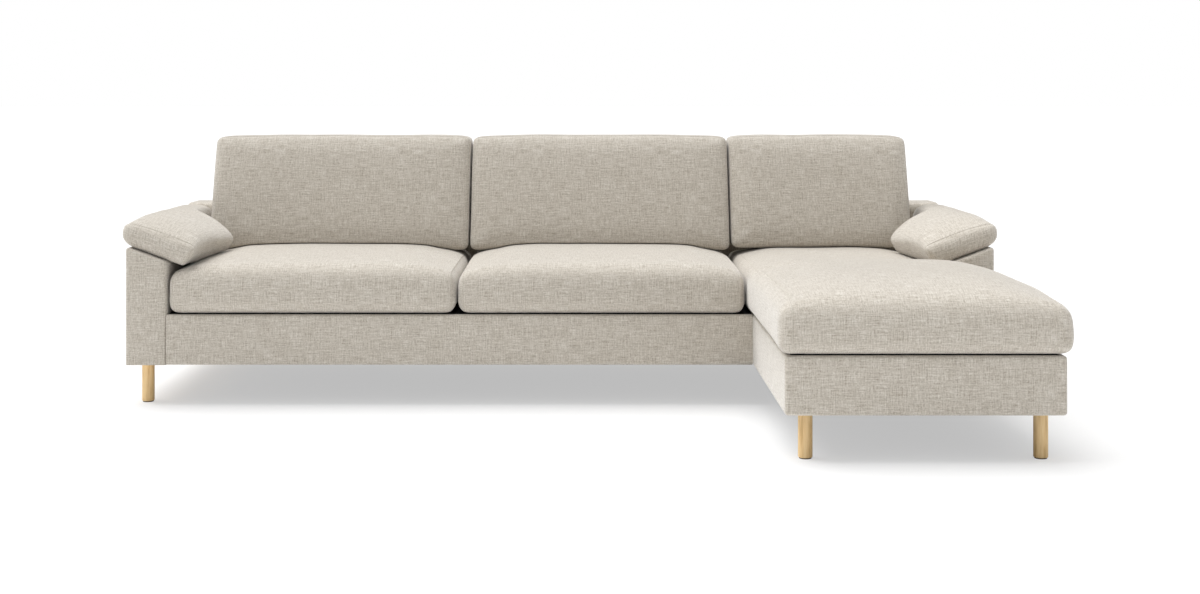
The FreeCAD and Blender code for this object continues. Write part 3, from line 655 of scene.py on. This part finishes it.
def woven_fabric():
    """A greige linen look: light and darker slubs along both threads of a plain weave."""
    finish = Finish("greige_linen_weave")
    cloth = finish.place("UV")
    across = slubs(finish, cloth, 0, length=0.050, width=0.0030, seed=0.0)
    down = slubs(finish, cloth, 1, length=0.042, width=0.0032, seed=7.0)
    fine_across = slubs(finish, cloth, 0, length=0.012, width=0.0014, seed=3.0)
    fine_down = slubs(finish, cloth, 1, length=0.012, width=0.0014, seed=11.0)
    grain = slubs(finish, cloth, 0, length=0.0045, width=0.0045, seed=5.0)
    tone = across * 0.26 + down * 0.22 + fine_across * 0.17 + fine_down * 0.15 + grain * 0.20
    colour = finish.ramp(tone, [(0.39, (0.370, 0.328, 0.272)), (0.47, (0.508, 0.462, 0.395)),
                                (0.54, (0.592, 0.548, 0.482)), (0.63, (0.705, 0.670, 0.608))])
    height = (across + down) * 0.5 + (fine_across + fine_down) * 0.5
    return finish.surface(Base_Color=colour, Normal=finish.bump(height, 0.6, 0.0012),
                          Roughness=0.92, Specular_IOR_Level=0.2, Sheen_Weight=0.5,
                          Sheen_Roughness=0.5)


def oak():
    """Oiled oak with its grain and pores drawn out along the leg."""
    finish = Finish("oiled_oak")
    grain = finish.drawn_noise((90, 90, 7), 5.0, 0.6)
    pores = finish.drawn_noise((600, 600, 30), 3.0)
    colour = finish.ramp(grain * 0.7 + pores * 0.3,
                         [(0.36, (0.68, 0.44, 0.19)), (0.5, (0.87, 0.61, 0.30)),
                          (0.66, (0.95, 0.72, 0.39))])
    return finish.surface(Base_Color=colour, Normal=finish.bump(pores, 0.25, 0.0006),
                          Roughness=0.48)


def pine():
    """Planed softwood: straight pale grain along the longest direction of most rails."""
    finish = Finish("planed_pine")
    grain = finish.drawn_noise((6, 60, 110), 4.0, 0.6)
    colour = finish.ramp(grain, [(0.36, (0.50, 0.32, 0.15)), (0.52, (0.68, 0.48, 0.26)),
                                 (0.66, (0.78, 0.60, 0.37))])
    return finish.surface(Base_Color=colour, Normal=finish.bump(grain, 0.2, 0.0005),
                          Roughness=0.6)


def plain_cloth(name, dark, light, thread):
    """A thin woven or felted cloth with one thread size and two close tones."""
    finish = Finish(name)
    place = finish.place()
    rough = finish.node("ShaderNodeTexNoise", Vector=place, Scale=1 / thread, Detail=3.0)
    wide = finish.node("ShaderNodeTexNoise", Vector=place, Scale=14.0, Detail=2.0)
    colour = finish.ramp(rough * 0.7 + wide * 0.3, [(0.35, dark), (0.65, light)])
    return finish.surface(Base_Color=colour, Normal=finish.bump(rough, 0.4, 0.0006),
                          Roughness=0.95, Specular_IOR_Level=0.15)


def hard_finish(name, dark, light, metallic, roughness):
    """A moulded or drawn surface with fine lines and small changes in gloss."""
    finish = Finish(name)
    lines = finish.drawn_noise((400, 400, 60), 3.0)
    colour = finish.ramp(lines, [(0.35, dark), (0.65, light)])
    return finish.surface(Base_Color=colour, Roughness=lines * 0.2 + (roughness - 0.1),
                          Normal=finish.bump(lines, 0.15, 0.0003), Metallic=metallic)


def plain_floor():
    """White where the light is full, with the sofa's shadow kept in a soft grey."""
    finish = Finish("pale_floor")
    finish.surface(Base_Color=(0.94, 0.94, 0.94, 1), Roughness=1.0, Specular_IOR_Level=0.0)
    shade = finish.node("ShaderNodeBsdfDiffuse", Color=(0.45, 0.45, 0.45, 1))
    base = finish.node("ShaderNodeEmission", Color=(1, 1, 1, 1), Strength=0.50)
    as_seen = finish.join("ShaderNodeAddShader", shade, base)
    seen = finish.node("ShaderNodeLightPath", output="Is Camera Ray")
    lit = Wire(finish.tree, finish.shader.outputs[0])
    choice = finish.join("ShaderNodeMixShader", lit, as_seen, Fac=seen)
    finish.feed(finish.tree.nodes["Material Output"].inputs[0], choice)
    return finish.material


def finish_kept_nodes():
    """Each CAD node that stays in the picture gets a finish by the end of its name."""
    timber = pine()
    strap = plain_cloth("jute_webbing", (0.30, 0.22, 0.13), (0.48, 0.37, 0.23), 0.003)
    lining = plain_cloth("black_lining", (0.018, 0.018, 0.019), (0.05, 0.05, 0.052), 0.0015)
    steel = hard_finish("zinc_steel", (0.42, 0.43, 0.45), (0.62, 0.63, 0.65), 1.0, 0.35)
    plastic = hard_finish("black_glide", (0.02, 0.02, 0.02), (0.05, 0.05, 0.05), 0.0, 0.5)
    finishes = {"_legs": oak(), "_rail": timber, "_rails": timber, "_board": timber,
                "_posts": timber, "_blocks": timber, "_webbing": strap, "_cloth": lining,
                "dust_cover": lining, "_glides": plastic, "_bolts": steel, "_plates": steel}
    for name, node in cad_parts.items():
        for ending, finish in finishes.items():
            if name.endswith(ending):
                node.data.materials.clear()
                node.data.materials.append(finish)


# Floor, light and camera
def studio_floor():
    bpy.ops.object.select_all(action="DESELECT")
    bpy.ops.mesh.primitive_plane_add(size=400, location=(0, 0, 0))
    floor = bpy.context.object
    floor.name = "floor"
    floor.data.materials.append(plain_floor())


def studio_light():
    """White to the camera; on the sofa, light that grows towards the top, and one soft lamp."""
    level_light, top_light = 0.165, 0.62
    world = bpy.data.worlds.new("studio")
    bpy.context.scene.world = world
    world.use_nodes = True
    nodes = Nodes(world.node_tree)
    seen = nodes.node("ShaderNodeLightPath", output="Is Camera Ray")
    through = nodes.node("ShaderNodeLightPath", output="Is Transmission Ray")
    white = seen.larger(through)
    direction = nodes.node("ShaderNodeTexCoord", output="Generated")
    height = nodes.node("ShaderNodeSeparateXYZ", output="Z", Vector=direction)
    overhead = height.larger(0.0) * top_light + level_light
    sky = world.node_tree.nodes["Background"]
    nodes.feed(sky.inputs["Color"], (1, 1, 1, 1))
    nodes.feed(sky.inputs["Strength"], white + (1 - white) * overhead)
    bpy.ops.object.light_add(type="SUN", rotation=(math.radians(-12), math.radians(-20), 0))
    lamp = bpy.context.object.data
    lamp.energy = 3.2
    lamp.angle = math.radians(60)


def photo_camera():
    """A level camera; its picture is shifted, so upright edges stay upright."""
    photo_width, photo_height = 1200, 594
    focal_pixels = 1580
    ahead_x, ahead_y = 585, 100
    sensor_width = 36
    bpy.ops.object.camera_add(location=(0.081, -5.148, 0.985), rotation=(math.radians(90), 0, 0))
    camera = bpy.context.object
    camera.data.sensor_width = sensor_width
    camera.data.lens = focal_pixels / photo_width * sensor_width
    camera.data.shift_x = (photo_width / 2 - ahead_x) / photo_width
    camera.data.shift_y = (ahead_y - photo_height / 2) / photo_width
    bpy.context.scene.camera = camera
    bpy.context.scene.view_settings.view_transform = "Standard"


fabric = woven_fabric()
chaise_inset, last_gap = 0.019, 0.018
seat_split = chaise_left - chaise_inset
seat_middle = (seat_split - arm_inner) / 2
ends = {"left": (-arm_inner + side_gap, seat_middle - side_gap),
        "middle": (seat_middle + side_gap, seat_split - side_gap),
        "right": (seat_split + side_gap, arm_inner - last_gap)}
seats = {word: seat_cushion(word, *ends[word], fabric) for word in ("left", "middle")}
seats["right"] = chaise_pad(fabric)
for word, (x0, x1) in ends.items():
    back_cushion(word, x0, x1, fabric, seats[word])
for word, side in (("left", -1), ("right", 1)):
    arm_pillow(word, side, fabric, seats[word])
for node in ("sofa_front_border", "sofa_rear_border", "chaise_front_border",
             "chaise_left_border", "chaise_right_border", "chaise_rear_border"):
    border(node, fabric)
arm("left", -1, fabric)
arm("right", 1, fabric)
back_shell("sofa", fabric)
back_shell("chaise", fabric)
finish_kept_nodes()
studio_floor()
studio_light()
photo_camera()
